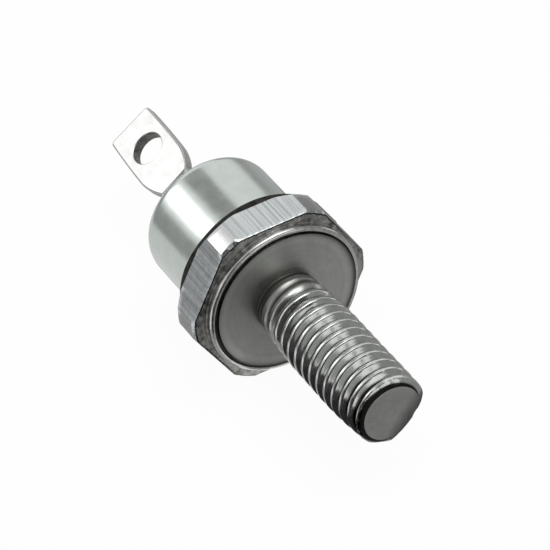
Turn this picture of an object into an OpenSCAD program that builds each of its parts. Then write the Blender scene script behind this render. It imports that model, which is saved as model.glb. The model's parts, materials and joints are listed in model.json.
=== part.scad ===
// Stud-mounted rectifier diode in a welded metal can, lying on one flat of its hexagon.
// The stud points along +X and the solder lug along -X. The origin is the centre of the
// seating face, on the diode's axis. Every piece is drawn upright, with heights counted
// from the seating face towards the lug, and is then laid on its side.

/* [Stud] */
// Diameter over the stud's thread
stud_d = 4.8; // [4.4:0.05:5.2]
// Length of the stud from the seating face to its end
stud_len = 12; // [10:0.1:14]
// Pitch of the stud's thread, which is cut as rings
thread_pitch = 0.794; // [0.7:0.002:1]
// Depth of the stud's thread
thread_depth = 0.46; // [0.3:0.02:0.48]
// Width of the flat on each crest of the thread
crest_w = 0.12; // [0.06:0.02:0.14]
// Length of plain stud between the seating face and the thread
plain_len = 0.8; // [0.4:0.1:2]
// Diameter of the flat end of the stud
tip_d = 3.7; // [3.2:0.05:4.2]
// Length of the chamfer at the end of the stud
tip_len = 0.6; // [0.3:0.05:1]

/* [Hexagonal base] */
// Size of the hexagon across its flats
hex_af = 10.85; // [10.6:0.05:12]
// Thickness of the hexagon
hex_h = 2.35; // [2:0.05:4]
// How far the hexagon's corners are turned down
corner_cut = 0.25; // [0.05:0.05:0.4]
// Chamfer on the corners at the can's side of the hexagon
rear_chamfer = 0.4; // [0.2:0.05:0.8]
// Diameter of the raised seating face
boss_d = 10.3; // [9.6:0.05:10.5]
// Height of the raised seating face above the hexagon
boss_h = 0.5; // [0.3:0.05:1]
// Radius on the edge of the seating face
boss_edge_r = 0.2; // [0.1:0.05:0.28]
// Diameter of the pedestal that carries the junction
pedestal_d = 6.4; // [5.6:0.1:7]
// Height of the pedestal above the hexagon
pedestal_h = 0.55; // [0.4:0.05:0.9]

/* [Can] */
// Outside diameter of the can
can_d = 8.75; // [8.2:0.05:9.2]
// Height of the can with its weld flange
can_h = 6.95; // [6.5:0.05:8]
// Wall of the can
can_wall = 0.45; // [0.25:0.05:0.5]
// Outside radius between the wall and the top of the can
can_round = 0.92; // [0.7:0.02:1.1]
// How far the weld flange stands out from the can
flange_w = 0.95; // [0.7:0.05:1.05]
// Radius between the weld flange and the wall
flange_round = 0.25; // [0.1:0.05:0.4]
// Thickness of the weld ring under the flange
ring_t = 0.2; // [0.1:0.05:0.4]
// How far the weld bead stands out beside the flange
bead_w = 0.1; // [0.04:0.02:0.2]
// Height of the weld bead up the edge of the flange
bead_h = 0.22; // [0.1:0.02:0.24]

/* [Glass seal] */
// Diameter of the glass seal
glass_d = 5.6; // [5.4:0.1:5.8]
// Height of the glass seal
glass_h = 1.5; // [1:0.1:1.8]
// Depth of the glass below the top of the can
glass_recess = 0.25; // [0.1:0.05:0.5]
// Depth of the hollow in each face of the glass
meniscus = 0.15; // [0.05:0.05:0.3]
// Depth of the collar turned into the can around the glass
collar_h = 1.9; // [1.6:0.1:2.4]

/* [Terminal] */
// Outside diameter of the terminal's tube
tube_d = 2.45; // [2.2:0.05:2.8]
// Depth of the tube's end below the top of the can
tube_below = 2.4; // [2.1:0.1:2.8]
// Length of round tube and ramp between the can and the flat lug
neck_len = 3.6; // [2.6:0.1:5]
// Length of the ramp where the tube is pressed flat
ramp_len = 1.5; // [1:0.1:2]
// Length of the flat lug
lug_len = 6.4; // [5.2:0.1:7]
// Greatest width of the flat lug
lug_w = 3.52; // [3.2:0.02:4]
// Wall of the terminal's tube, half as thick as the lug pressed from it
tube_wall = 0.4; // [0.3:0.05:0.5]
// Radius of the lug's bowed sides
side_r = 64; // [30:1:90]
// Height of the lug's widest place above its foot
side_h = 2.9; // [2.4:0.1:3.6]
// Radius of the lug's rounded shoulders
shoulder_r = 4; // [3:0.1:6]
// How far the lug's two free corners are clipped
lug_corner_cut = 0.12; // [0.04:0.02:0.3]
// Diameter of the wire hole in the lug
hole_d = 2.16; // [1.6:0.02:2.4]
// Distance from the lug's free end to the wire hole
hole_in = 2.73; // [2:0.01:3]
// Turn of the lug about the diode's axis
lug_turn = 35; // [0:1:90]
// Lean of the lug in its own plane
lug_lean = 2.8; // [0:0.1:6]

/* [Junction] */
// Thickness of each solder layer
solder_t = 0.1; // [0.06:0.02:0.2]
// Diameter of the lower support plate
lower_plate_d = 4.4; // [4:0.1:5]
// Thickness of the lower support plate
lower_plate_t = 0.5; // [0.3:0.05:0.7]
// Diameter of the silicon die
die_d = 3.8; // [3.4:0.1:4]
// Thickness of the silicon die
die_t = 0.3; // [0.2:0.02:0.4]
// Bevel round the edge of the silicon die
die_bevel = 0.1; // [0.04:0.02:0.2]
// Diameter of the upper support plate
upper_plate_d = 3; // [2.6:0.1:3.2]
// Thickness of the upper support plate
upper_plate_t = 0.4; // [0.3:0.05:0.6]
// Diameter of the inner lead's head
head_d = 2.4; // [2:0.1:2.6]
// Thickness of the inner lead's head
head_t = 0.4; // [0.3:0.05:0.6]
// Diameter of the inner lead's wire
lead_d = 0.9; // [0.7:0.05:1]
// Radius of the inner lead's bends, at its middle line
bend_r = 0.55; // [0.52:0.01:0.65]
// Length of the solder that holds the inner lead in the tube
plug_len = 1.6; // [1:0.1:2.4]
// Solder above the end of the inner lead
plug_cover = 0.3; // [0.1:0.05:0.6]

/* [Hidden] */
$fn = 96;

// Small overlap that lets two shapes of one piece run into each other
lap = 0.2;

// Radii across the base and the can
corner_r = hex_af / 2 / cos(30) - corner_cut;
can_r = can_d / 2;
can_bore_r = can_r - can_wall;
flange_r = can_r + flange_w;
glass_r = glass_d / 2;
collar_r = glass_r + can_wall;
tube_r = tube_d / 2;
tube_bore_d = tube_d - 2 * tube_wall;
lug_t = 2 * tube_wall;
lead_r = lead_d / 2;

// Heights from the seating face, up through the base and the can
hex_top = boss_h + hex_h;
ring_top = hex_top + ring_t;
can_top = ring_top + can_h;
glass_top = can_top - glass_recess;

// Heights up through the junction
pedestal_top = hex_top + pedestal_h;
lower_plate_z = pedestal_top + solder_t;
lower_bond_z = lower_plate_z + lower_plate_t;
die_z = lower_bond_z + solder_t;
upper_bond_z = die_z + die_t;
upper_plate_z = upper_bond_z + solder_t;
lead_solder_z = upper_plate_z + upper_plate_t;
head_z = lead_solder_z + solder_t;
bend_z = head_z + head_t;
lead_z = bend_z + 4 * bend_r;

// Heights up through the terminal, and the drop of its ramp for each millimetre
tube_z = can_top - tube_below;
lug_z = can_top + neck_len;
ramp_z = lug_z - ramp_len;
ramp_slope = (tube_r - lug_t / 2) / ramp_len;
lead_top = ramp_z - plug_cover;

// Half the lug's width at its foot, the centres of its shoulders and the height where they end
foot_half_w = sqrt(tube_r * tube_r - lug_t * lug_t / 4);
shoulder_in = shoulder_r - lug_w / 2;
shoulder_up = sqrt(shoulder_r * shoulder_r - (foot_half_w + shoulder_in) * (foot_half_w + shoulder_in));

// Lay an upright shape on its side, with its foot towards +X
module lay() {
    rotate([0, -90, 0]) children();
}

// Disc or plate of the junction standing at height z
module disc(d, t, z) {
    translate([0, 0, z]) cylinder(d = d, h = t);
}

// Rectangle with one corner rounded, the corner at its largest x and y
module one_round(w, h, r) {
    difference() {
        square([w, h]);
        translate([w - r, h - r]) difference() {
            square([r + lap, r + lap]);
            circle(r);
        }
    }
}

// Hexagon with turned corners, chamfered on the can's side
module hexagon() {
    rim_r = corner_r - rear_chamfer;
    intersection() {
        translate([0, 0, boss_h]) linear_extrude(hex_h) intersection() {
            rotate(30) circle(d = hex_af / cos(30), $fn = 6);
            circle(corner_r);
        }
        rotate_extrude() polygon([
            [0, boss_h],
            [corner_r + lap, boss_h],
            [corner_r + lap, hex_top - rear_chamfer - lap],
            [rim_r, hex_top],
            [0, hex_top]
        ]);
    }
}

// Half section of the stud, with its thread cut as rings and its end chamfered
module stud_section() {
    stud_r = stud_d / 2;
    root_r = stud_r - thread_depth;
    flank = thread_depth * tan(30);
    root_w = thread_pitch - crest_w - 2 * flank;
    thread_end = stud_len - tip_len;
    turns = floor((thread_end - plain_len) / thread_pitch);
    grooves = [for (i = [0:turns - 1], corner = [
        [stud_r, 0],
        [root_r, flank],
        [root_r, flank + root_w],
        [stud_r, 2 * flank + root_w]
    ]) [corner[0], -plain_len - i * thread_pitch - corner[1]]];
    polygon(concat(
        [[0, boss_h], [stud_r, boss_h]],
        grooves,
        [[stud_r, -thread_end], [tip_d / 2, -stud_len], [0, -stud_len]]
    ));
}

// One turned piece: stud, seating face, hexagon and pedestal
module stud_base() {
    color("silver") lay() union() {
        hexagon();
        rotate_extrude() union() {
            stud_section();
            translate([0, hex_top - lap]) mirror([0, 1]) one_round(boss_d / 2, hex_top - lap, boss_edge_r);
        }
        disc(pedestal_d, pedestal_h + lap, hex_top - lap);
    }
}

// Weld under the can's flange, with a bead that runs up the flange's edge
module weld_ring() {
    bead_r = flange_r + bead_w;
    color("dimgray") lay() rotate_extrude() translate([0, hex_top]) union() {
        translate([can_r, 0]) square([bead_r - can_r, ring_t]);
        translate([flange_r, 0]) square([bead_w, ring_t + bead_h]);
    }
}

// Solder between the pedestal and the lower plate
module base_solder() {
    color("lightgray") lay() disc(lower_plate_d, solder_t, pedestal_top);
}

// Support plate under the die
module lower_plate() {
    color("slategray") lay() disc(lower_plate_d, lower_plate_t, lower_plate_z);
}

// Half section of the die with its bevelled edge
module die_section() {
    translate([0, die_z]) polygon([
        [0, 0],
        [die_d / 2, 0],
        [die_d / 2 - die_bevel, die_t],
        [0, die_t]
    ]);
}

// Half section of the solder under the die
module lower_bond_section() {
    translate([0, lower_bond_z]) square([die_d / 2, solder_t]);
}

// Half section of the solder and the plate above the die
module upper_stack_section() {
    translate([0, upper_bond_z]) square([upper_plate_d / 2, solder_t + upper_plate_t]);
}

module lower_bond() {
    color("lightgray") lay() rotate_extrude() lower_bond_section();
}

module silicon_die() {
    color("darkslategray") lay() rotate_extrude() die_section();
}

// Solder between the die and the upper plate
module upper_bond() {
    color("lightgray") lay() disc(upper_plate_d, solder_t, upper_bond_z);
}

// Support plate on the die
module upper_plate() {
    color("slategray") lay() disc(upper_plate_d, upper_plate_t, upper_plate_z);
}

// Solder under the inner lead's head
module lead_solder() {
    color("lightgray") lay() disc(head_d, solder_t, lead_solder_z);
}

// Protective bead round the edge of the die, resting on the lower plate
module junction_coating() {
    bead_r = (lower_plate_d - upper_plate_d) / 2;
    color("whitesmoke") lay() rotate_extrude() difference() {
        translate([upper_plate_d / 2, lower_bond_z]) intersection() {
            circle(bead_r);
            square(bead_r + lap);
        }
        lower_bond_section();
        die_section();
        upper_stack_section();
    }
}

// Bent wire that starts upright at the origin and turns towards +X
module bent_wire(angle) {
    translate([bend_r, 0, 0]) rotate([-90, 0, 0]) rotate(180)
        rotate_extrude(angle = angle) translate([bend_r, 0]) circle(lead_r);
}

// Headed copper lead with a strain relief loop, running up into the tube
module inner_lead() {
    color("peru") lay() union() {
        disc(head_d, head_t, head_z);
        translate([0, 0, bend_z]) bent_wire(90);
        translate([bend_r, 0, bend_z + bend_r]) rotate([0, 90, 0]) rotate(180) bent_wire(180);
        translate([bend_r, 0, bend_z + 3 * bend_r]) rotate([0, -90, 0]) bent_wire(90);
        disc(lead_d, lead_top - lead_z, lead_z);
    }
}

// Solder that fills the closed end of the tube round the inner lead
module tube_solder() {
    color("lightgray") lay() difference() {
        disc(tube_bore_d, plug_len, ramp_z - plug_len);
        disc(lead_d, lead_top - lead_z, lead_z);
    }
}

// Half section of the space inside the can, with the collar left standing
module can_inside() {
    difference() {
        translate([0, ring_top - lap])
            one_round(can_bore_r, can_h - can_wall + lap, can_round - can_wall);
        translate([0, can_top - collar_h]) square([collar_r, collar_h]);
    }
}

// Drawn can: weld flange, wall, rounded top and a collar turned in round the glass
module can() {
    color("silver") lay() rotate_extrude() difference() {
        union() {
            translate([0, ring_top]) one_round(can_r, can_h, can_round);
            translate([0, ring_top]) square([flange_r, can_wall]);
            translate([0, ring_top + can_wall]) difference() {
                square([can_r + flange_round, flange_round]);
                translate([can_r + flange_round, flange_round]) circle(flange_round);
            }
        }
        can_inside();
        translate([0, ring_top]) square([glass_r, can_h + lap]);
    }
}

// Glass between the collar and the tube, hollowed on both faces
module glass_seal() {
    half_w = (glass_r - tube_r) / 2;
    hollow_r = (half_w * half_w + meniscus * meniscus) / (2 * meniscus);
    color("lightsteelblue") lay() rotate_extrude() difference() {
        translate([tube_r, glass_top - glass_h]) square([glass_r - tube_r, glass_h]);
        for (face = [[glass_top, 1], [glass_top - glass_h, -1]])
            translate([tube_r + half_w, face[0] + face[1] * (hollow_r - meniscus)]) circle(hollow_r);
    }
}

// Front outline of the flat lug, its foot at the origin and its free end at +Y
module lug_outline() {
    hole_up = lug_len - hole_in;
    end_half_w = lug_w / 2 - side_r + sqrt(side_r * side_r - (lug_len - side_h) * (lug_len - side_h));
    intersection() {
        translate([-lug_w, -lap]) square([2 * lug_w, lug_len + lap]);
        union() {
            intersection() {
                translate([shoulder_in, shoulder_up]) circle(shoulder_r);
                translate([-shoulder_in, shoulder_up]) circle(shoulder_r);
            }
            translate([-lug_w, shoulder_up]) square([2 * lug_w, lug_len]);
        }
        translate([side_r - lug_w / 2, side_h]) circle(side_r);
        translate([lug_w / 2 - side_r, side_h]) circle(side_r);
        union() {
            translate([0, hole_up]) circle(norm([end_half_w, hole_in]) - lug_corner_cut);
            translate([-lug_w, -lug_w]) square([2 * lug_w, hole_up + lug_w]);
        }
    }
}

// Tube pressed flat at its outer end, with a ramp on each face
module pressed_tube() {
    side = tube_r + lap;
    side_top = -lap / ramp_slope;
    end_top = ramp_len + lap;
    end_half_t = tube_r - ramp_slope * end_top;
    intersection() {
        translate([0, 0, tube_z]) cylinder(r = tube_r, h = lug_z + lap - tube_z);
        translate([0, tube_d, ramp_z]) rotate([90, 0, 0]) linear_extrude(2 * tube_d) polygon([
            [-side, tube_z - ramp_z],
            [side, tube_z - ramp_z],
            [side, side_top],
            [end_half_t, end_top],
            [-end_half_t, end_top],
            [-side, side_top]
        ]);
    }
}

// Flat pierced lug, leaning in its own plane about the top of its shoulders
module flat_lug() {
    translate([0, 0, lug_z + shoulder_up]) rotate([-lug_lean, 0, 0]) translate([0, 0, -shoulder_up])
        rotate([90, 0, 90]) translate([0, 0, -lug_t / 2]) linear_extrude(lug_t) difference() {
            lug_outline();
            translate([0, lug_len - hole_in]) circle(d = hole_d);
        }
}

// One tube, round in the seal and pressed into a pierced lug outside
module terminal() {
    color("gainsboro") lay() rotate(-lug_turn) difference() {
        union() {
            pressed_tube();
            flat_lug();
        }
        disc(tube_bore_d, ramp_z - tube_z, tube_z);
    }
}

stud_base();
weld_ring();
base_solder();
lower_plate();
lower_bond();
silicon_die();
upper_bond();
upper_plate();
lead_solder();
inner_lead();
tube_solder();
junction_coating();
can();
glass_seal();
terminal();
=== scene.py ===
import json
import math
import random

import bmesh
import bpy
from mathutils import Matrix, Vector


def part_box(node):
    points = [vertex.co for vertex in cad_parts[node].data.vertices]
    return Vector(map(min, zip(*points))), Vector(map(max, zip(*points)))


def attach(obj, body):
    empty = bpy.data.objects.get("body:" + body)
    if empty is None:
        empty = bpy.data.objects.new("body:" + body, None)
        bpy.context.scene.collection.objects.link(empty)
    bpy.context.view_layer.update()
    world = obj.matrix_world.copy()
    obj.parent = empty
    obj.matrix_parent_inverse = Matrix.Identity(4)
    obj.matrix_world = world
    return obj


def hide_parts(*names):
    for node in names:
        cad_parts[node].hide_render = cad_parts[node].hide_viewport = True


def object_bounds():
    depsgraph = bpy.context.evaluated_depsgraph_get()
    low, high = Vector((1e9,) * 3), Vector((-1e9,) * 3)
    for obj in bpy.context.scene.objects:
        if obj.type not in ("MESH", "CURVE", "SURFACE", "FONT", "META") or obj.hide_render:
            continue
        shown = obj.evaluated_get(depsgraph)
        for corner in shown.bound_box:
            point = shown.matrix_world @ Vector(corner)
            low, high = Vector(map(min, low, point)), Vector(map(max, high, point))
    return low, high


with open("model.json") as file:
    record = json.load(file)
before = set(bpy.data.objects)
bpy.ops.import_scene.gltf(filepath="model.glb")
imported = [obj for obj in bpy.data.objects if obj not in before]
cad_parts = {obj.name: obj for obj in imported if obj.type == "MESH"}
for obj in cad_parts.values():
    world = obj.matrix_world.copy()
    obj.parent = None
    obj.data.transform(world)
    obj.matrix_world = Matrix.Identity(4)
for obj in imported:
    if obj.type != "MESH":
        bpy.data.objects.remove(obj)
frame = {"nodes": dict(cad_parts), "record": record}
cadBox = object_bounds()
nodes = frame["nodes"]
scene = bpy.context.scene
scene.view_settings.view_transform = "Standard"
mm = 0.001
print("frame loaded:", len(nodes), "nodes")


# where the CAD says things are, in millimetres, heights counted from the seating face to the lug
def heights(node):
    low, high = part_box(node)
    return -high.x / mm, -low.x / mm


def radius(node):
    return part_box(node)[1].y / mm


floorZ = cadBox[0].z / mm
canFoot, canTop = heights("can")
glassFoot, glassTop = heights("glass_seal")
tubeFoot = heights("terminal")[0]
studTip = -heights("stud_base")[0]
pedestalTop = heights("stud_base")[1]

# values that more than one piece or finish uses
tubeR = 1.225                     # outside of the terminal's tube
wornSide = math.radians(-41)      # the stud's end falls off towards this side
mergeGap = 0.0008                 # points closer than this become one
spotRange = (0.35, 0.65)          # part of the noise's range that shows as spots


# mesh helpers

def addMesh(name, points, faces, sharpAngle=38, slots=None):
    mesh = bpy.data.meshes.new(name)
    mesh.from_pydata([tuple(p * mm for p in point) for point in points], [], faces)
    if slots is not None:
        mesh.polygons.foreach_set("material_index", slots)
    finishMesh(mesh, sharpAngle)
    piece = bpy.data.objects.new(name, mesh)
    scene.collection.objects.link(piece)
    return piece


def finishMesh(mesh, sharpAngle):
    work = bmesh.new()
    work.from_mesh(mesh)
    bmesh.ops.remove_doubles(work, verts=work.verts, dist=mergeGap * mm)
    bmesh.ops.dissolve_degenerate(work, edges=work.edges, dist=mergeGap / 2 * mm)
    bmesh.ops.recalc_face_normals(work, faces=work.faces)
    work.to_mesh(mesh)
    work.free()
    mesh.shade_smooth()
    mesh.set_sharp_from_angle(angle=math.radians(sharpAngle))


# crisp line where two finishes of one piece meet
def sharpenBetween(mesh, first, second):
    work = bmesh.new()
    work.from_mesh(mesh)
    for line in work.edges:
        if {face.material_index for face in line.link_faces} == {first, second}:
            line.smooth = False
    work.to_mesh(mesh)
    work.free()


def around(h, r, angle):
    return (-h, r * math.cos(angle), r * math.sin(angle))


# quarter or part arc in the half section, as height and radius pairs
def arc(centreH, centreR, size, start, end, steps=8):
    spots = []
    for i in range(steps + 1):
        turn = math.radians(start + (end - start) * i / steps)
        spots.append((centreH + size * math.sin(turn), centreR + size * math.cos(turn)))
    return spots


# closed half section turned once round the axis; wobble may shift each point
def turned(name, section, segments=224, wobble=None):
    points = []
    faces = []
    count = len(section)
    for j in range(segments):
        angle = 2 * math.pi * j / segments
        for k, (h, r) in enumerate(section):
            if wobble:
                h, r = wobble(k, h, r, angle)
            points.append(around(h, r, angle))
    for j in range(segments):
        here = j * count
        there = ((j + 1) % segments) * count
        for k in range(count):
            nextK = (k + 1) % count
            faces.append((here + k, here + nextK, there + nextK, there + k))
    return addMesh(name, points, faces)


def place(piece, node):
    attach(piece, "root")
    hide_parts(node)


# material helpers

def newMaterial(name, colour, metallic, rough):
    material = bpy.data.materials.new(name)
    material.use_nodes = True
    tree = material.node_tree
    shader = tree.nodes["Principled BSDF"]
    shader.inputs["Base Color"].default_value = (*colour, 1)
    shader.inputs["Metallic"].default_value = metallic
    shader.inputs["Roughness"].default_value = rough
    return material, tree, shader


def join(tree, source, target):
    tree.links.new(source, target)


def objectSpot(tree):
    return tree.nodes.new("ShaderNodeTexCoord").outputs["Object"]


# noise in object space, stretched by the three scales, given per millimetre
def grain(tree, scales, detail=3.0, rough=0.55):
    stretch = tree.nodes.new("ShaderNodeMapping")
    stretch.inputs["Scale"].default_value = [s / mm for s in scales]
    noise = tree.nodes.new("ShaderNodeTexNoise")
    noise.inputs["Scale"].default_value = 1.0
    noise.inputs["Detail"].default_value = detail
    noise.inputs["Roughness"].default_value = rough
    join(tree, objectSpot(tree), stretch.inputs["Vector"])
    join(tree, stretch.outputs["Vector"], noise.inputs["Vector"])
    return noise.outputs["Fac"]


# distance from the diode's axis, in millimetres
def axisDistance(tree):
    flatten = tree.nodes.new("ShaderNodeVectorMath")
    flatten.operation = "MULTIPLY"
    flatten.inputs[1].default_value = (0, 1 / mm, 1 / mm)
    length = tree.nodes.new("ShaderNodeVectorMath")
    length.operation = "LENGTH"
    join(tree, objectSpot(tree), flatten.inputs[0])
    join(tree, flatten.outputs["Vector"], length.inputs[0])
    return length.outputs["Value"]


# distance from the axis towards one side, in millimetres
def sideDistance(tree, side):
    across = tree.nodes.new("ShaderNodeVectorMath")
    across.operation = "DOT_PRODUCT"
    across.inputs[1].default_value = (0, math.cos(side) / mm, math.sin(side) / mm)
    join(tree, objectSpot(tree), across.inputs[0])
    return across.outputs["Value"]


# fine rings left by turning: noise that depends on the distance from the axis only
def rings(tree, perMm, detail=3.0):
    noise = tree.nodes.new("ShaderNodeTexNoise")
    noise.noise_dimensions = "1D"
    noise.inputs["Scale"].default_value = perMm
    noise.inputs["Detail"].default_value = detail
    join(tree, axisDistance(tree), noise.inputs["W"])
    return noise.outputs["Fac"]


# map a factor from one range to another
def remap(tree, value, low, high, fromLow=0.3, fromHigh=0.7):
    node = tree.nodes.new("ShaderNodeMapRange")
    node.inputs["From Min"].default_value = fromLow
    node.inputs["From Max"].default_value = fromHigh
    node.inputs["To Min"].default_value = low
    node.inputs["To Max"].default_value = high
    join(tree, value, node.inputs["Value"])
    return node.outputs["Result"]


# one step of arithmetic; each value is a number or a socket
def compute(tree, operation, *values):
    node = tree.nodes.new("ShaderNodeMath")
    node.operation = operation
    for socket, value in zip(node.inputs, values):
        if isinstance(value, (int, float)):
            socket.default_value = value
        else:
            join(tree, value, socket)
    return node.outputs[0]


# blend two colours by a factor; each colour is three numbers or a socket
def tint(tree, factor, first, second):
    node = tree.nodes.new("ShaderNodeMix")
    node.data_type = "RGBA"
    join(tree, factor, node.inputs["Factor"])
    for socket, colour in ((node.inputs[6], first), (node.inputs[7], second)):
        if isinstance(colour, tuple):
            socket.default_value = (*colour, 1)
        else:
            join(tree, colour, socket)
    return node.outputs[2]


# mean of two factors, leaning to the second by its share
def blend(tree, first, second, share):
    node = tree.nodes.new("ShaderNodeMix")
    node.data_type = "FLOAT"
    node.inputs["Factor"].default_value = share
    join(tree, first, node.inputs[2])
    join(tree, second, node.inputs[3])
    return node.outputs[0]


def bump(tree, shader, height, depthMm):
    node = tree.nodes.new("ShaderNodeBump")
    node.inputs["Distance"].default_value = depthMm * mm
    node.inputs["Strength"].default_value = 1.0
    join(tree, height, node.inputs["Height"])
    join(tree, node.outputs["Normal"], shader.inputs["Normal"])


def glowing(tree, grey):
    glow = tree.nodes.new("ShaderNodeEmission")
    glow.inputs["Color"].default_value = (grey, grey, grey, 1)
    glow.inputs["Strength"].default_value = 1.0
    return glow.outputs[0]


def darker(colour, share):
    return tuple(c * share for c in colour)


# plated metal: colour and roughness drift in spots, and lines are pressed in along one direction
def platedMetal(name, tones, rough, stretch, depthMm, speck=(2.5, 2.5, 2.5), lined=0.0):
    material, tree, shader = newMaterial(name, tones[0], 1.0, rough[0])
    lines = grain(tree, stretch, detail=4.0)
    spots = grain(tree, speck, detail=5.0, rough=0.6)
    shade = remap(tree, spots, 0, 1, *spotRange)
    if lined:
        shade = blend(tree, shade, remap(tree, lines, 0, 1, 0.38, 0.62), lined)
    join(tree, tint(tree, shade, *tones), shader.inputs["Base Color"])
    join(tree, remap(tree, spots, *rough), shader.inputs["Roughness"])
    bump(tree, shader, lines, depthMm)
    return material


# turned face: rings in the colour and the surface, and a darker tone beyond a radius, which on the seat is
# painted shade at its edge
def turnedMetal(name, tones, rough, perMm, depthMm, darkTone, darkFrom):
    material, tree, shader = newMaterial(name, tones[0], 1.0, rough[0])
    groove = rings(tree, perMm)
    spots = grain(tree, (1.2, 1.2, 1.2), detail=5.0, rough=0.65)
    shade = blend(tree, remap(tree, groove, 0, 1), remap(tree, spots, 0, 1, *spotRange), 0.5)
    clean = tint(tree, shade, *tones)
    outward = remap(tree, axisDistance(tree), 0, 1, *darkFrom)
    join(tree, tint(tree, outward, clean, darkTone), shader.inputs["Base Color"])
    join(tree, remap(tree, spots, *rough), shader.inputs["Roughness"])
    bump(tree, shader, groove, depthMm)
    return material


# turned face that is darker beyond a line on one side; in the groove this is painted shade
def oneSideDarkMetal(name, tones, rough, darkTone, side, beyond):
    nowhere = (9, 10)        # radii past the piece, so the face has no darkening of its own
    material = turnedMetal(name, tones, rough, perMm=2.6, depthMm=0.004, darkTone=darkTone, darkFrom=nowhere)
    tree = material.node_tree
    shader = tree.nodes["Principled BSDF"]
    clean = shader.inputs["Base Color"].links[0].from_socket
    mottle = remap(tree, grain(tree, (2, 5, 0.8), detail=4.0), 0, 1, 0.3, 0.6)
    darkSide = tint(tree, mottle, darkTone, darker(tones[0], 0.3))
    past = remap(tree, sideDistance(tree, side), 0, 1, *beyond)
    join(tree, tint(tree, past, clean, darkSide), shader.inputs["Base Color"])
    return material


# thread: painted shade in its roots and towards the seat, where the die ran out; it is duller there too
def threadMetal(name, tones, darkTone, rough, roots, seatEnd, dulled):
    material, tree, shader = newMaterial(name, tones[0], 1.0, rough[0])
    spots = grain(tree, (2.2, 2.2, 2.2), detail=4.0)
    clean = tint(tree, remap(tree, spots, 0, 1, *spotRange), *tones)
    split = tree.nodes.new("ShaderNodeSeparateXYZ")
    join(tree, objectSpot(tree), split.inputs[0])
    near = remap(tree, split.outputs["X"], 1, 0, *(x * mm for x in seatEnd))
    inward = remap(tree, axisDistance(tree), 1, 0, *roots)
    clean = tint(tree, near, clean, darkTone)
    join(tree, tint(tree, inward, clean, darker(darkTone, 0.12)), shader.inputs["Base Color"])
    dull = compute(tree, "MULTIPLY_ADD", near, dulled, remap(tree, spots, *rough))
    join(tree, dull, shader.inputs["Roughness"])
    bump(tree, shader, spots, 0.004)
    return material


# each finish: its name, two tones, roughness from and to, and what its kind asks for
finishes = {
    "flats": platedMetal("hex_flats", ((0.4, 0.425, 0.425), (0.66, 0.69, 0.695)), rough=(0.2, 0.3),
                         stretch=(0.1, 6, 6), depthMm=0.009, lined=0.85),
    "corner": platedMetal("turned_corner", ((0.48, 0.485, 0.48), (0.56, 0.565, 0.56)), rough=(0.15, 0.22),
                          stretch=(2, 2, 2), depthMm=0.004),
    # the seat darkens towards its lip: painted shade
    "seat": turnedMetal("seat_face", ((0.4, 0.405, 0.39), (0.52, 0.525, 0.51)), rough=(0.34, 0.48),
                        perMm=3.2, depthMm=0.003, darkTone=(0.11, 0.11, 0.1), darkFrom=(4.5, 4.75)),
    # the end is darker beyond a line towards its lower side
    "end": oneSideDarkMetal("stud_end", ((0.42, 0.425, 0.41), (0.54, 0.545, 0.53)), rough=(0.26, 0.38),
                     darkTone=(0.05, 0.05, 0.045), side=wornSide, beyond=(0.75, 1.95)),
    # groove inside the lip and the hexagon's front edge: painted shade, near black towards one side
    "groove": oneSideDarkMetal("seat_groove_painted_shade", ((0.2, 0.2, 0.19), (0.36, 0.36, 0.34)), rough=(0.35, 0.5),
                        darkTone=(0.008, 0.008, 0.007), side=math.radians(130), beyond=(-2.6, 0.5)),
    "rim": platedMetal("seat_rim", ((0.5, 0.5, 0.49), (0.68, 0.68, 0.67)), rough=(0.16, 0.28),
                       stretch=(2, 2, 2), depthMm=0.008),
    # painted shade on the faces set back behind the lip and the hexagon
    "shaded_recess": platedMetal("shaded_recess", ((0.13, 0.13, 0.12), (0.5, 0.5, 0.48)), rough=(0.3, 0.5),
                          stretch=(3, 3, 3), depthMm=0.03),
    # painted shade in the thread's roots and at its foot by the seat
    "thread": threadMetal("thread", ((0.57, 0.585, 0.565), (0.66, 0.68, 0.655)), rough=(0.14, 0.22),
                          darkTone=(0.22, 0.22, 0.2), roots=(2.03, 2.12), seatEnd=(0.2, 2.6), dulled=0.3),
    "can": platedMetal("can_plate", ((0.54, 0.585, 0.555), (0.585, 0.625, 0.6)), rough=(0.19, 0.25),
                       stretch=(0.2, 1.4, 1.4), depthMm=0.004, speck=(1.1, 1.1, 1.1)),
    "lug": platedMetal("lug_plate", ((0.455, 0.46, 0.45), (0.51, 0.515, 0.505)), rough=(0.22, 0.34),
                       stretch=(1.2, 1.2, 1.2), depthMm=0.006, speck=(1.3, 1.3, 1.3)),
    # painted shade and dark reflection on the wall of the lug's hole
    "hole_shade": platedMetal("hole_wall_painted_shade", ((0.14, 0.14, 0.135), (0.3, 0.3, 0.29)), rough=(0.3, 0.5),
                           stretch=(4, 4, 4), depthMm=0.02),
    # near black: painted shade in the gap between the hexagon and the can's flange
    "weld": platedMetal("shaded_weld_bead", ((0.008, 0.008, 0.007), (0.05, 0.05, 0.045)), rough=(0.4, 0.6),
                        stretch=(3, 3, 3), depthMm=0.03),
}


# inner finishes, on CAD nodes that stay as they are
def innerFinish(name, tones, rough, metallic=1.0):
    material, tree, shader = newMaterial(name, tones[0], metallic, rough[0])
    spots = grain(tree, (6, 6, 6), detail=4.0)
    join(tree, tint(tree, remap(tree, spots, 0, 1), *tones), shader.inputs["Base Color"])
    join(tree, remap(tree, spots, *rough), shader.inputs["Roughness"])
    bump(tree, shader, spots, 0.004)
    return material


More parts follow.
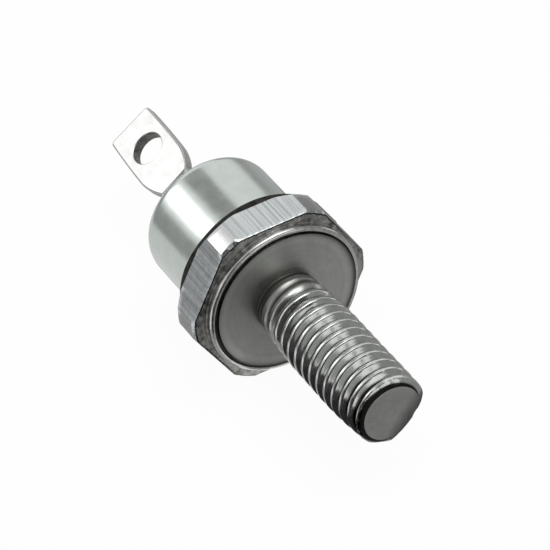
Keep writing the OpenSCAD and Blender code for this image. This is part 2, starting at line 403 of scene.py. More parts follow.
innerFinishes = {
    "solder": innerFinish("solder", ((0.5, 0.5, 0.52), (0.62, 0.62, 0.63)), (0.3, 0.5)),
    "plate_metal": innerFinish("plate_metal", ((0.36, 0.37, 0.39), (0.45, 0.46, 0.48)), (0.3, 0.45)),
    "silicon": innerFinish("silicon", ((0.1, 0.11, 0.13), (0.15, 0.16, 0.18)), (0.08, 0.16), 0.6),
    "copper": innerFinish("copper", ((0.72, 0.38, 0.24), (0.8, 0.47, 0.32)), (0.25, 0.4)),
    "coating": innerFinish("coating", ((0.8, 0.8, 0.76), (0.88, 0.88, 0.85)), (0.35, 0.5), 0.0),
}
print("materials made:", len(finishes) + len(innerFinishes))

# threaded stud, seating face, hexagon and pedestal: one piece, turned from one bar
base = {
    "acrossFlats": 10.85,
    "hexShift": (-0.12, 0.07),    # the bar ran a little off centre when the stud was turned
    "cornerR": 5.95,         # corners turned down to this
    "hexFront": 0.5,         # height of the hexagon's stud side
    "hexBack": 2.85,
    "rearRimR": 5.56,        # rim left by the chamfer on the can's side
    "rearSlope": 1.0,        # the chamfer's length for each millimetre of its depth
    "frontRimR": 5.86,       # rim left by the chamfer on the stud's side
    "bossR": 5.15,
    "bossFillet": 0.06,
    "lipRound": 0.2,         # rounding of the lip's outer edge
    "lipBack": 0.02,         # the lip's inner edge lies this far behind the face
    "rimInR": 4.88,          # raised lip round the seating face
    "grooveDepth": 0.12,
    "grooveSlant": 0.05,
    "faceR": 4.71,
    "faceShift": (0.115, -0.08),  # groove inside the lip is wider on one side
    "footLand": 0.25,        # ring of the seating face at the stud's foot
    "pedestalR": 3.2,
    "edge": 0.09,            # broken edges
    "edgeMiddle": 0.3,       # a broken edge's middle point, as a share of its size
    "pitch": 0.845,          # as the photograph shows it
    "crestAt": 2.426,        # one crest lies here at crestAngle
    "crestAngle": 82,
    "majorR": 2.4,
    "minorR": 2.05,
    "startR": 2.06,          # the thread fades out towards the seat
    "fullAt": 4.4,           # first full crest
    "growth": 0.75,          # power by which the crests grow up to there
    "rootFade": 0.9,         # full depth of the roots from here on
    "tipR": 1.86,
    "tipLen": 0.16,
    "endLand": 0.45,         # the last groove begins to run out this far from the end
    "landFade": 0.35,        # and is gone after this length
    "taperFrom": 8.6,        # crests shrink a little from here to the end
    "taper": 0.14,
    "tipShift": 0.17,        # the end is ground off centre by this much
    "shiftFrom": 7.5,
    "faceLow": 0.13,         # the face at the end lies this far below the stud's middle
    "faceRings": 8,
    "ripple": 0.03,          # faint ridges left where the die ran out
    "ripplePitch": 0.37,
    "rippleFull": 0.2,       # ridges start at the seat, are full here and fade out at rippleEnd
    "rippleEnd": 2.6,
    "wornFrom": 0.6,         # the end falls off beyond this distance towards the worn side
    "wornSlope": 0.15,
    "wornPast": 1.4,         # the end's finish runs over its edge beyond this distance
    "wornReach": 0.55,       # and this far along the stud
    "nickAt": -36,           # dent in the edge of the end
    "nickWide": 8,
    "nickDeep": 0.2,
    "nickLong": 0.9,
    "nickLeast": 1.7,        # the dent goes no further in than this radius
    "flank": 53,             # slope of the thread's flanks in degrees
    "crestFlat": 0.09,
    "crestRound": 0.17,      # straight flanks run between these two roundings
    "rootRound": 0.05,
    "flatSteps": 36,         # columns on each flat
    "cornerSteps": 8,        # columns on each turned corner
    "bodySteps": 5,          # rows along the hexagon
    "burr": 0.07,            # raggedness of the hexagon's front edge
    "rearLand": 0.05,        # step between the hexagon and its rear face
    "rearBreak": 0.07,       # broken edges of the chamfer on the can's side
    "rearRise": 0.02,
    "rearIn": 0.03,
    "sharp": 40,             # edges that turn by more degrees than this stay crisp
    "finishes": ("thread", "seat", "rim", "shaded_recess", "flats", "groove", "corner", "end"),
}


def baseSlot(finish):
    return base["finishes"].index(finish)


# columns round the base, closer together at the hexagon's corners
def baseAngles():
    half = math.degrees(math.acos(base["acrossFlats"] / 2 / base["cornerR"]))
    angles = []
    for side in range(6):
        middle = 90 + 60 * side
        for i in range(base["flatSteps"]):
            angles.append(middle - half + 2 * half * i / base["flatSteps"])
        for i in range(base["cornerSteps"]):
            angles.append(middle + half + (60 - 2 * half) * i / base["cornerSteps"])
    return [math.radians(a) for a in angles]


def flatRadius(angle):
    off = (math.degrees(angle) - 90) % 60
    off = min(off, 60 - off)
    return base["acrossFlats"] / 2 / math.cos(math.radians(off))


# rows of one turn of the thread: how far along the pitch, and its form from root 0 to crest 1
def threadRows():
    half = base["pitch"] / 2
    flat, crest, root = base["crestFlat"] / 2, base["crestRound"], base["rootRound"]
    flank = math.radians(base["flank"])
    flankLong = half - flat - (crest + root) * math.sin(flank)
    depth = (crest + root) * (1 - math.cos(flank)) + flankLong * math.tan(flank)
    spots = [(0, 0)]
    for share in (0, 1 / 3, 2 / 3, 1):
        t = flank * share
        spots.append((flat + crest * math.sin(t), crest * (1 - math.cos(t))))
    spots.append((spots[-1][0] + flankLong / 2, spots[-1][1] + flankLong / 2 * math.tan(flank)))
    for share in (1, 0.5, 0):
        t = flank * share
        spots.append((half - root * math.sin(t), depth - root * (1 - math.cos(t))))
    spots += [(2 * half - along, down) for along, down in spots[-2:0:-1]]
    return [(along / base["pitch"], 1 - down / depth) for along, down in spots]


def crestRadius(x):
    grow = min(x / base["fullAt"], 1.0)
    crest = base["startR"] + (base["majorR"] - base["startR"]) * grow ** base["growth"]
    run = max(0.0, (x - base["taperFrom"]) / (studTip - base["taperFrom"]))
    crest -= base["taper"] * run * run
    chamfer = (studTip - x) / base["tipLen"]
    return min(crest, base["tipR"] + (base["majorR"] - base["tipR"]) * chamfer)


def rootRadius(x):
    fade = min(x / base["rootFade"], 1.0)
    root = min(base["startR"] + (base["minorR"] - base["startR"]) * fade, crestRadius(x))
    full = min(max((x - studTip + base["endLand"]) / base["landFade"], 0.0), 1.0)
    return root + (crestRadius(x) - root) * full


def towardsWorn(y, z):
    return y * math.cos(wornSide) + z * math.sin(wornSide)


# one point of the stud, with the run-out ridges near the seat and the shifted, nicked and worn end
def studPoint(x, r, angle):
    run = max(0.0, (x - base["shiftFrom"]) / (studTip - base["shiftFrom"]))
    fading = max(0.0, 1 - x / base["rippleEnd"])
    ridge = base["ripple"] * math.sin(math.tau * x / base["ripplePitch"]) * fading
    away = (math.degrees(angle) - base["nickAt"] + 180) % 360 - 180
    nick = base["nickDeep"] * max(0.0, 1 - (away / base["nickWide"]) ** 2)
    nick *= max(0.0, 1 - (studTip - x) / base["nickLong"])
    r = min(r, max(r - nick, base["nickLeast"]))
    spot = around(-x, r + ridge * min(x / base["rippleFull"], 1), angle)
    ground = max(0.0, 1 - (studTip - x) / base["tipLen"])
    y, z = spot[1] + base["tipShift"] * run * run, spot[2] - base["faceLow"] * ground
    past = max(0.0, towardsWorn(y, z) - base["wornFrom"])
    return (min(x, studTip - base["wornSlope"] * past * past), y, z)


# helical grid for the thread: each row follows one line of the thread form
def addThread(angles, points, faces, slots):
    count = len(angles)
    pitch = base["pitch"]
    perTurn = threadRows()
    first = base["crestAt"] - pitch * math.ceil(base["crestAt"] / pitch + 1)
    rows = len(perTurn) * (math.ceil((studTip - first) / pitch) + 1)
    startAngle = angles[0]
    shift = (startAngle - math.radians(base["crestAngle"])) / (2 * math.pi)
    for i in range(rows):
        phase, form = perTurn[i % len(perTurn)]
        for j in range(count + 1):
            angle = angles[j % count] + (2 * math.pi if j == count else 0)
            turn = (angle - startAngle) / (2 * math.pi)
            x = first + pitch * (i // len(perTurn) + phase + turn + shift)
            x = min(max(x, 0.0), studTip)
            low = rootRadius(x)
            points.append(studPoint(x, low + (crestRadius(x) - low) * form, angle))
    for i in range(rows - 1):
        for j in range(count):
            a = i * (count + 1) + j
            faces.append((a, a + 1, a + count + 2, a + count + 1))
            slots.append(baseSlot("thread"))


# face at the end of the stud, ring by ring towards its middle
def addStudEnd(angles, points, faces, slots):
    count = len(angles)
    steps = base["faceRings"]
    for k in range(steps, 0, -1):
        offset = len(points)
        points += [studPoint(studTip, base["tipR"] * k / steps, a) for a in angles]
        points += [studPoint(studTip, base["tipR"] * (k - 1) / steps, a) for a in angles]
        for j in range(count):
            after = (j + 1) % count
            faces.append((offset + j, offset + after, offset + count + after, offset + count + j))
            slots.append(baseSlot("end"))


# rings from the foot of the stud out over the seat, round the hexagon and down to the pedestal;
# each has its heights, its radii, the finish up to the next ring, and a shift off the axis
def bodyRings(angles, flat):
    count = len(angles)
    outline = []

    def spread(value):
        return value if isinstance(value, list) else [value] * count

    def ring(h, r, finish, shift=(0, 0)):
        outline.append((spread(h), spread(r), finish, shift))

    rng = random.Random(5)
    ragged = [rng.uniform(0, base["burr"]) for a in angles]
    edge, rim, lip = base["edge"], base["bossR"], base["lipRound"]
    front, back = base["hexFront"], base["hexBack"]
    slant, fillet = base["grooveSlant"], base["bossFillet"]
    middle, broken, rise = base["edgeMiddle"], base["rearBreak"], base["rearRise"]
    ring(0.0, base["startR"], "seat")
    ring(0.0, base["startR"] + base["footLand"], "seat")
    ring(0.0, base["faceR"], "groove", base["faceShift"])
    ring(base["grooveDepth"], base["faceR"] + slant, "groove", base["faceShift"])
    ring(base["grooveDepth"], base["rimInR"] - slant, "groove")
    ring(base["lipBack"], base["rimInR"], "rim")
    for h, r in arc(lip, rim - lip, lip, -75, 0, 8):
        ring(h, r, "rim")
    ring(front - fillet, rim, "shaded_recess")
    ring(front, rim + fillet, "shaded_recess")

    # the hexagon: broken front edge, flats with turned corners, chamfer on the can's side
    off = base["hexShift"]
    frontR = [min(f, base["frontRimR"]) for f in flat]
    body = [min(f, base["cornerR"]) for f in flat]
    rearR = [min(f, base["rearRimR"]) for f in flat]
    frontH = [front + edge + b + max(0.0, f - base["frontRimR"]) for f, b in zip(body, ragged)]
    chamfer = [back - base["rearLand"] - base["rearSlope"] * max(0.0, f - base["rearRimR"]) for f in body]
    # the front edge's outer facet takes the groove's finish: a painted dark line of shade
    ring(front, [f - edge - b for f, b in zip(frontR, ragged)], "groove", off)
    middleR = [f - edge * middle - b * middle for f, b in zip(frontR, ragged)]
    ring(front + edge * middle, middleR, "flats", off)
    steps = base["bodySteps"]
    for step in range(steps + 1):
        hs = [low + (high - low) * step / steps for low, high in zip(frontH, chamfer)]
        ring(hs, body, "corner", off)
    breakH = [min(c + broken, back - rise) for c in chamfer]
    ring(breakH, [f - base["rearIn"] for f in body], "flats", off)
    ring(back - rise, [f - rise for f in rearR], "flats")
    ring(back, [f - broken for f in rearR], "shaded_recess")
    ring(back, base["pedestalR"], "shaded_recess")
    ring(pedestalTop, base["pedestalR"], "shaded_recess")
    return outline


def addBody(angles, points, faces, slots):
    count = len(angles)
    flat = [flatRadius(a) for a in angles]
    outline = bodyRings(angles, flat)
    offset = len(points)
    for hs, rs, finish, (moveY, moveZ) in outline:
        for h, r, a in zip(hs, rs, angles):
            spot = around(h, r, a)
            points.append((spot[0], spot[1] + moveY, spot[2] + moveZ))
    for k in range(len(outline) - 1):
        slot = baseSlot(outline[k][2])
        for j in range(count):
            after = (j + 1) % count
            a = offset + k * count + j
            b = offset + k * count + after
            faces.append((a, b, b + count, a + count))
            turnedDown = (flat[j] + flat[after]) / 2 > base["cornerR"]
            onFlat = slot == baseSlot("corner") and not turnedDown
            slots.append(baseSlot("flats") if onFlat else slot)
    last = offset + (len(outline) - 1) * count
    points.append((-pedestalTop, 0, 0))
    for j in range(count):
        faces.append((last + j, last + (j + 1) % count, len(points) - 1))
        slots.append(baseSlot("shaded_recess"))


def makeBase():
    angles = baseAngles()
    points = []
    faces = []
    slots = []
    addThread(angles, points, faces, slots)
    addStudEnd(angles, points, faces, slots)
    addBody(angles, points, faces, slots)
    piece = addMesh("stud_base_turned", points, faces, base["sharp"], slots)
    for finish in base["finishes"]:
        piece.data.materials.append(finishes[finish])
    sharpenBetween(piece.data, baseSlot("flats"), baseSlot("corner"))
    for face in piece.data.polygons:
        spot = face.center / mm
        if spot.x > studTip - base["wornReach"] and towardsWorn(spot.y, spot.z) > base["wornPast"]:
            face.material_index = baseSlot("end")
    place(piece, "stud_base")


makeBase()
print("stud and hexagon made")

# drawn can with its weld flange, rounded far edge and collar
can = {
    "wall": 0.45,
    "radius": 4.375,
    "round": 0.92,           # outside radius at the far edge
    "flangeFillet": 0.25,
    "edge": 0.08,            # rounding of the flange's edge
    "collarEdge": 0.3,       # rounding where the top turns into the collar
    "collarDepth": 1.9,
    "glassR": radius("glass_seal"),
    "wallRows": (4.5, 3, 1.6),    # rows along the straight wall, down from the top
}


def makeCan():
    wall = can["wall"]
    outer = can["radius"]
    bore = outer - wall
    flange = radius("can")
    flangeTop = canFoot + wall
    edge, fillet, far, inEdge = can["edge"], can["flangeFillet"], can["round"], can["collarEdge"]
    collarFoot = canTop - can["collarDepth"]
    collarOut = can["glassR"] + wall
    section = [(canFoot, bore)]
    section += arc(canFoot + edge, flange - edge, edge, -90, 0, 4)
    section += arc(flangeTop - edge, flange - edge, edge, 0, 90, 4)
    section += arc(flangeTop + fillet, outer + fillet, fillet, 270, 180, 6)
    section += [(canTop - down, outer) for down in can["wallRows"]]
    section += arc(canTop - far, outer - far, far, 0, 90, 14)
    section += arc(canTop - inEdge, can["glassR"] + inEdge, inEdge, 90, 180, 8)
    section += [(collarFoot, can["glassR"]), (collarFoot, collarOut), (canTop - wall, collarOut)]
    section += arc(canTop - far, outer - far, far - wall, 90, 0, 8)
    piece = turned("can_drawn", section)
    piece.data.materials.append(finishes["can"])
    place(piece, "can")


makeCan()

# weld bead between the hexagon and the flange, coloured near black as painted shade in the gap
weld = {
    "rise": 0.18,            # the bead runs up most of the flange's edge
    "round": 0.1,
    "roundSteps": 4,
    "waves": 9,
    "swell": 0.03,
    "inset": 0.02,
}


def makeWeld():
    foot, top = heights("weld_ring")
    top += weld["rise"]
    out = radius("weld_ring")
    flange = radius("can")
    section = [(foot, can["radius"]), (foot, out)]
    section += arc(top - weld["round"], out - weld["round"], weld["round"], 0, 90, weld["roundSteps"])
    section += [(top, flange), (canFoot, flange), (canFoot, can["radius"])]
    lastOuter = weld["roundSteps"] + 3    # the points up to this one lie on the bead's open side
    rng = random.Random(11)
    phases = [(k + 2, rng.uniform(0, 6.28), rng.uniform(0.3, 1)) for k in range(weld["waves"])]

    def wobble(k, h, r, angle):
        if k < 1 or k > lastOuter:
            return h, r
        ripple = sum(size * math.sin(n * angle + phase) for n, phase, size in phases) / weld["waves"]
        swell = weld["swell"] * ripple
        return h + (swell if k > 1 else 0), min(r, out - weld["inset"]) + swell

    piece = turned("shaded_weld_bead", section, wobble=wobble)
    piece.data.materials.append(finishes["weld"])
    place(piece, "weld_ring")


makeWeld()
print("can and weld made")

# fused glass between the collar and the tube
glass = {
    "meniscus": 0.15,
    "colour": (0.3, 0.35, 0.38),
    "cloudy": 1.25,          # clouds are this much lighter than the glass
    "rough": 0.08,
    "index": 1.5,            # refractive index
    "coat": 0.3,
    "steps": 12,
    "segments": 128,
}


def makeGlass():
    inR, outR = tubeR, can["glassR"]
    steps = glass["steps"]

    def face(level, side):
        spots = []
        for i in range(steps + 1):
            t = i / steps
            dip = glass["meniscus"] * (1 - (2 * t - 1) ** 2)
            spots.append((level - side * dip, inR + (outR - inR) * t))
        return spots

    section = face(glassTop, 1)[::-1] + face(glassFoot, -1)
    piece = turned("glass_bead", section, glass["segments"])
    material, tree, shader = newMaterial("seal_glass", glass["colour"], 0.0, glass["rough"])
    shader.inputs["IOR"].default_value = glass["index"]
    shader.inputs["Coat Weight"].default_value = glass["coat"]
    cloud = grain(tree, (1.5, 1.5, 1.5))
    second = tuple(c * glass["cloudy"] for c in glass["colour"])
    join(tree, tint(tree, remap(tree, cloud, 0, 1), glass["colour"], second), shader.inputs["Base Color"])
    bump(tree, shader, cloud, 0.01)
    piece.data.materials.append(material)
    place(piece, "glass_seal")


makeGlass()

# tube pressed flat into a pierced lug
lug = {
    "boreR": 0.825,
    "foot": 13.6,            # height of the crease
    "ramp": 1.5,
    "halfT": 0.4,
    "halfW": 1.76,
    "sideR": 64.0,
    "sideH": 2.9,            # widest place above the crease
    "shoulderR": 4.0,
    "length": 6.4,
    "holeR": 1.08,
    "holeIn": 2.73,          # hole's distance from the free end
    "holeChamfer": 0.07,
    "holeReach": 0.03,       # the hole wall's painted shade covers what lies this far outside the hole's wall
    "edge": 0.13,            # rounding of the lug's edges
    "endEdge": 0.1,          # rounding of its free end
    "endSteps": 5,
    "cornerR": 0.24,
    "turn": 35,
    "lean": 2.8,
    "leanIn": 0.5,           # the lean is full from this height above the crease
    "ring": 88,              # points round each section
    "arcSteps": 9,
    "rampSteps": 10,
    "rampLead": 0.15,        # the last round section lies this far below the ramp
    "rampEnd": 0.985,        # the ramp's last section lies just below the crease
    "overCan": 1,            # a round section lies this far above the can
    "ease": 0.25,            # share of a soft start and stop in how the corners sharpen
    "sharp": 24,
    "holeSegments": 96,
    "boreSegments": 64,
}
lugFootW = math.sqrt(tubeR ** 2 - lug["halfT"] ** 2)
lugRise = math.sqrt(lug["shoulderR"] ** 2 - (lugFootW + lug["shoulderR"] - lug["halfW"]) ** 2)
rampFoot = lug["foot"] - lug["ramp"]
holeUp = lug["foot"] + lug["length"] - lug["holeIn"]


# half width of the lug at a height above the crease
def lugHalfWidth(up):
    side = lug["halfW"] - lug["sideR"] + math.sqrt(lug["sideR"] ** 2 - (up - lug["sideH"]) ** 2)
    if up < lugRise:
        shoulder = math.sqrt(lug["shoulderR"] ** 2 - (lugRise - up) ** 2)
        side = min(side, lug["halfW"] - lug["shoulderR"] + shoulder)
    left = lug["length"] - up
    if left < lug["cornerR"]:
        side -= lug["cornerR"] - math.sqrt(max(lug["cornerR"] ** 2 - (lug["cornerR"] - left) ** 2, 0))
    return side


# rounded rectangle with the same number of points at every size
def roundedSection(halfW, halfT, corner):
    corner = min(corner, halfW, halfT)
    arcSteps = lug["arcSteps"]
    flatSteps = lug["ring"] // 4 - arcSteps - 1
    spots = []
    for quarter in range(4):
        su = 1 if quarter in (0, 3) else -1
        sn = 1 if quarter in (0, 1) else -1
        part = []
        for i in range(arcSteps + 1):
            t = math.radians(90 * i / arcSteps)
            part.append((halfW - corner + corner * math.cos(t), halfT - corner + corner * math.sin(t)))
        for i in range(1, flatSteps + 1):
            part.append(((halfW - corner) * (1 - i / (flatSteps + 0.5)), halfT))
        if quarter in (1, 3):
            part = part[::-1]
        spots += [(su * u, sn * n) for u, n in part]
    return spots


# lug frame: height along the tube, u across the lug, n out of its front face; it leans about its shoulders
def lugPoint(h, u, n):
    up = h - lug["foot"]
    lean = math.radians(lug["lean"])
    if up > 0:
        dip = u * math.sin(lean) * min(up / lug["leanIn"], 1)
        h = lug["foot"] + lugRise + (up - lugRise) * math.cos(lean) - dip
        u = u * math.cos(lean) + (up - lugRise) * math.sin(lean)
    else:
        u -= lugRise * math.sin(lean) * max(0.0, 1 + up / lug["ramp"]) ** 2
    turn = math.radians(lug["turn"])
    y = u * math.cos(turn) - n * math.sin(turn)
    z = u * math.sin(turn) + n * math.cos(turn)
    return (-h, y, z)


# sections along the terminal: height, half width, half thickness and corner rounding
def terminalSections():
    r = tubeR
    rounds = (tubeFoot, canTop + lug["overCan"], rampFoot - lug["rampLead"])
    sections = [(h, r, r, r) for h in rounds]
    steps, easing = lug["rampSteps"], lug["ease"]
    for i in range(1, steps + 1):
        t = i / steps
        eased = t * t * (3 - 2 * t) * easing + t * (1 - easing)
        h = rampFoot + lug["ramp"] * t * lug["rampEnd"]
        halfT = r + (lug["halfT"] - r) * t
        sections.append((h, r + (lugFootW - r) * t, halfT, r + (lug["edge"] - r) * eased))
    # rows of the lug: close together at its shoulders, even along its sides, close again at its free end
    shoulders = [0.03 + 1.9 * (i / 18) ** 1.2 for i in range(19)]
    sides = [2.2 + (lug["length"] - 0.45 - 2.2) * i / 10 for i in range(11)]
    freeEnd = [lug["length"] - lug["endEdge"] - 0.26 * (1 - i / 6) ** 1.5 for i in range(7)]
    for up in shoulders + sides + freeEnd:
        sections.append((lug["foot"] + up, lugHalfWidth(up), lug["halfT"], lug["edge"]))
    steps = lug["endSteps"]
    for i in range(1, steps + 1):
        t = math.radians(90 * i / steps)
        inset = lug["endEdge"] * (1 - math.cos(t))
        up = lug["length"] - lug["endEdge"] + lug["endEdge"] * math.sin(t)
        sections.append((lug["foot"] + up, lugHalfWidth(up) - inset, lug["halfT"] - inset, lug["edge"]))
    return sections


def makeTerminal():
    sections = terminalSections()
    count = lug["ring"]
    points = []
    faces = []
    for h, halfW, halfT, corner in sections:
        points += [lugPoint(h, u, n) for u, n in roundedSection(halfW, halfT, corner)]
    for k in range(len(sections) - 1):
        for j in range(count):
            a = k * count + j
            b = k * count + (j + 1) % count
            faces.append((a, b, b + count, a + count))
    faces.append(tuple(range(count))[::-1])
    faces.append(tuple((len(sections) - 1) * count + j for j in range(count)))
    piece = addMesh("terminal_pressed", points, faces, lug["sharp"])
    cutHoles(piece)
    piece.data.materials.append(finishes["lug"])
    piece.data.materials.append(finishes["hole_shade"])
    middle = Vector(lugPoint(holeUp, 0, 0))
    along = (Vector(lugPoint(holeUp, 0, 1)) - middle).normalized()
    for face in piece.data.polygons:
        out = Vector(face.center) / mm - middle
        inHole = (out - along * out.dot(along)).length < lug["holeR"] + lug["holeReach"]
        face.material_index = 1 if inHole else 0
    place(piece, "terminal")


# wire hole with a broken edge, and the tube's blind bore
def cutHoles(piece):
    chamfer, holeR, reach = lug["holeChamfer"], lug["holeR"], lug["halfT"]
    clear = 0.3              # the cutters reach this far past the piece
    # place along the hole and radius, from outside the front face in to the wall
    profile = [
        (reach + clear, holeR + clear + chamfer),
        (reach, holeR + chamfer),
        (reach - 0.02, holeR + chamfer * 0.55),
        (reach - 0.05, holeR + chamfer * 0.2),
        (reach - 0.1, holeR),
    ]
    profile = profile + [(-n, s) for n, s in profile[::-1]]
    cutter(piece, profile, lambda n, u, v: lugPoint(holeUp + v, u, n), lug["holeSegments"])
    bore = [(tubeFoot - clear, lug["boreR"]), (rampFoot, lug["boreR"])]
    cutter(piece, bore, lugPoint, lug["boreSegments"])
    piece.data.shade_smooth()
    piece.data.set_sharp_from_angle(angle=math.radians(lug["sharp"]))
    piece.modifiers.new("even faces", "WEIGHTED_NORMAL").keep_sharp = True


# subtract a turned shape from a piece; where() puts its points in the frame
def cutter(piece, profile, where, segments):
    points = []
    faces = []
    for along, size in profile:
        for j in range(segments):
            t = 2 * math.pi * j / segments
            points.append(where(along, size * math.cos(t), size * math.sin(t)))
    for k in range(len(profile) - 1):
        for j in range(segments):
            a = k * segments + j
            b = k * segments + (j + 1) % segments
            faces.append((a, b, b + segments, a + segments))
    faces.append(tuple(range(segments)))
    faces.append(tuple((len(profile) - 1) * segments + j for j in range(segments)))
    tool = addMesh("cutter", points, faces)
    cut = piece.modifiers.new("cut", "BOOLEAN")
    cut.operation = "DIFFERENCE"
    cut.solver = "EXACT"
    cut.object = tool
    made = bpy.data.meshes.new_from_object(piece.evaluated_get(bpy.context.evaluated_depsgraph_get()))
    piece.modifiers.remove(cut)
    piece.data = made
    bpy.data.objects.remove(tool)


makeTerminal()
print("glass and terminal made")

# sealed pieces keep their CAD form and take a finish
for part in frame["record"]["subparts"]:
    finish = innerFinishes.get(part["material_slot"])
    if finish:
        nodes[part["node"]].data.materials.clear()
        nodes[part["node"]].data.materials.append(finish)
print("sealed pieces finished")

# camera: angles and distance that the photograph gives, for a square picture
view = {
    "azimuth": 64.303,
    "elevation": 40.684,
    "roll": -6.166,
    "distance": 222.2,       # from the seating face, in millimetres
    "focalPixels": 3708,
    "pixels": 550,
    "sensor": 36,
    "clip": (0.005, 5),      # nearest and farthest that the camera sees, in metres
    "aside": 0.664,          # shift of the seat from the picture's centre, in millimetres
    "below": -1.507,
}


def makeCamera():
    a, e, r = (math.radians(view[k]) for k in ("azimuth", "elevation", "roll"))
    back = Vector((math.sin(a) * math.cos(e), -math.cos(a) * math.cos(e), math.sin(e)))
    level = Vector((math.cos(a), math.sin(a), 0))
    upright = back.cross(level)
    right = level * math.cos(r) + upright * math.sin(r)
    up = upright * math.cos(r) - level * math.sin(r)
    spot = (back * view["distance"] - right * view["aside"] - up * view["below"]) * mm
    data = bpy.data.cameras.new("camera")
    data.sensor_width = view["sensor"]
    data.lens = view["focalPixels"] / view["pixels"] * view["sensor"]
    data.clip_start, data.clip_end = view["clip"]
    camera = bpy.data.objects.new("camera", data)
    turn = Matrix((right, up, back)).transposed().to_4x4()
    camera.matrix_world = Matrix.Translation(spot) @ turn
    scene.collection.objects.link(camera)
    scene.camera = camera


makeCamera()
print("camera made")

# floor, white surround, soft lamps, and cards that only reflections see
studio = {
    "floorSize": 900,
    "floorColour": (0.95, 0.95, 0.95),
    "shadowShare": 0.05,     # how much of the floor's own shading the camera keeps
    "fill": 0.55,            # surround's light on the object
    "cardLift": 0.05,        # cards on the floor lie this far above it
}


# share of rays that see the white surround: camera, mirror and glass rays
def seenDirectly(tree):
    path = tree.nodes.new("ShaderNodeLightPath")
    total = path.outputs["Is Camera Ray"]
    for name in ("Is Glossy Ray", "Is Transmission Ray"):
        total = compute(tree, "MAXIMUM", total, path.outputs[name])
    return total


def mixShaders(tree, share, first, second, output):
    mix = tree.nodes.new("ShaderNodeMixShader")
    join(tree, share, mix.inputs["Fac"])
    join(tree, first, mix.inputs[1])
    join(tree, second, mix.inputs[2])
    join(tree, mix.outputs[0], tree.nodes[output].inputs["Surface"])


def makeSurround():
    world = bpy.data.worlds.new("surround")
    world.use_nodes = True
    tree = world.node_tree
    plain = tree.nodes["Background"]
    white = tree.nodes.new("ShaderNodeBackground")
    for light, strength in ((plain, studio["fill"]), (white, 1.0)):
        light.inputs["Color"].default_value = (1, 1, 1, 1)
        light.inputs["Strength"].default_value = strength
    mixShaders(tree, seenDirectly(tree), plain.outputs[0], white.outputs[0], "World Output")
    scene.world = world


def makeFloor():
    half = studio["floorSize"] / 2
    corners = [(-half, -half, floorZ), (half, -half, floorZ), (half, half, floorZ), (-half, half, floorZ)]
    floor = addMesh("floor", corners, [(0, 1, 2, 3)])
    material, tree, shader = newMaterial("floor", studio["floorColour"], 0.0, 0.9)
    share = compute(tree, "MULTIPLY", seenDirectly(tree), 1 - studio["shadowShare"])
    mixShaders(tree, share, shader.outputs[0], glowing(tree, 1), "Material Output")
    floor.data.materials.append(material)


def towards(azimuth, elevation):
    a, e = math.radians(azimuth), math.radians(elevation)
    return Vector((math.cos(a) * math.cos(e), math.sin(a) * math.cos(e), math.sin(e)))


def makeLamp(name, azimuth, elevation, distance, size, watts):
    data = bpy.data.lights.new(name, "AREA")
    data.shape = "RECTANGLE"
    data.size, data.size_y = (s * mm for s in size)
    data.energy = watts
    lamp = bpy.data.objects.new(name, data)
    aim = towards(azimuth, elevation)
    lamp.location = aim * distance * mm
    lamp.rotation_mode = "QUATERNION"
    lamp.rotation_quaternion = aim.to_track_quat("Z", "Y")
    lamp.visible_camera = False
    scene.collection.objects.link(lamp)


# plain card that faces the object, seen in reflections only
def makeCard(name, azimuth, elevation, distance, size, grey):
    aim = towards(azimuth, elevation)
    across = Vector((0, 0, 1)).cross(aim).normalized()
    upward = aim.cross(across)
    middle = aim * distance
    half = across * size[0] / 2, upward * size[1] / 2
    corners = [middle + half[0] * s + half[1] * t for s, t in ((-1, -1), (1, -1), (1, 1), (-1, 1))]
    layCard(name, corners, grey)


def layCard(name, corners, grey):
    card = addMesh(name, [tuple(c) for c in corners], [(0, 1, 2, 3)])
    material = bpy.data.materials.new(name)
    material.use_nodes = True
    tree = material.node_tree
    tree.nodes.remove(tree.nodes["Principled BSDF"])
    join(tree, glowing(tree, grey), tree.nodes["Material Output"].inputs["Surface"])
    card.data.materials.append(material)
    card.visible_camera = False
    card.visible_diffuse = False
    card.visible_shadow = False


# grey patch on the floor, between two places along X and two along Y, seen in reflections only
def layFloorCard(name, alongX, alongY, grey):
    level = floorZ + studio["cardLift"]
    spots = ((0, 0), (1, 0), (1, 1), (0, 1))
    layCard(name, [(alongX[i], alongY[j], level) for i, j in spots], grey)


makeSurround()
makeFloor()

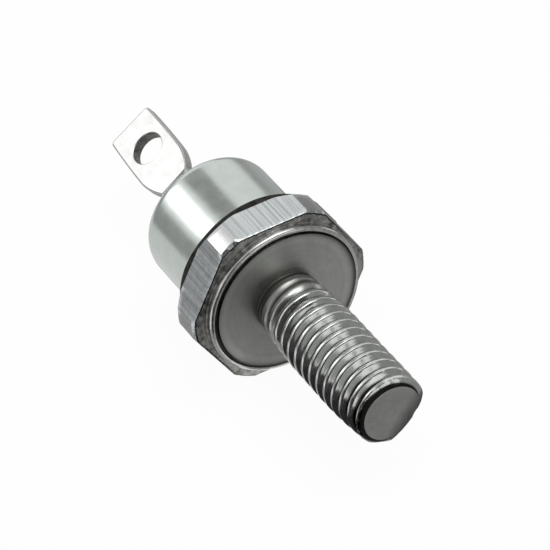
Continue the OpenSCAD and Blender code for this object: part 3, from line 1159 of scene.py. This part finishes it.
# direction in degrees, distance and size in millimetres, power
makeLamp("window", 215, 29, 160, (52, 54), 0.0155)
makeLamp("overhead", 40, 78, 220, (160, 160), 0.2)

# direction, distance, size and grey
makeCard("dark_gap", 181, 49, 120, (50, 62), 0.36)
makeCard("dark_far_wall", 133, 3, 130, (110, 34), 0.4)
makeCard("dark_horizon", 226, 2.5, 40, (90, 15), 0.36)
makeCard("grey_ahead", -21, 17, 130, (82, 84), 0.36)
makeCard("grey_gap", 21, 26, 130, (16, 44), 0.45)
makeCard("grey_ahead_right", 60, 12, 130, (120, 66), 0.3)
makeCard("dim_left_sky", -60, 50, 120, (150, 130), 0.5)
makeCard("dim_right_sky", 80, 34, 120, (150, 90), 0.3)

# corners and grey
layCard("dim_beside_stud", [(-12, 19, -5.4), (-3.5, 19, -5.4), (-24, 19, 34), (-30, 19, 34)], 0.3)
layCard("flag_beside_stud", [(4.4, -12, -5.3), (18, -12, -5.3), (18, -12, 16), (4.4, -12, 16)], 0.06)
layCard("flag_over_stud", [(6.5, -12, 16), (18, -12, 16), (18, 9, 16), (6.5, 9, 16)], 0.015)

# from and to along X, along Y, and grey; no two of these overlap
# under_can, under_stud, right_of_stud, right_of_end and far_floor_ahead are the object's shadow on the
# floor, painted for reflections only
layFloorCard("far_floor", (-140, -18), (5, 140), 0.5)
layFloorCard("far_floor_ahead", (-18, 0.5), (5, 140), 0.24)
layFloorCard("near_floor", (-60, -9), (-70, -3.5), 0.8)
layFloorCard("near_floor_ahead", (-9, 5), (-12, -3.5), 0.4)
layFloorCard("under_can", (-22, -2), (-3.5, 5), 0.45)
layFloorCard("under_stud", (0.5, 40), (-2.5, 4.5), 0.32)
layFloorCard("right_of_stud", (0.5, 8.5), (4.5, 34), 0.46)
layFloorCard("right_of_end", (8.5, 40), (4.5, 34), 0.32)
layFloorCard("far_right", (0.5, 90), (34, 120), 0.32)
layFloorCard("beside_stud", (5, 140), (-12, -2.5), 0.03)
layFloorCard("left_of_end", (7, 140), (-60, -12), 0.03)
print("studio made")
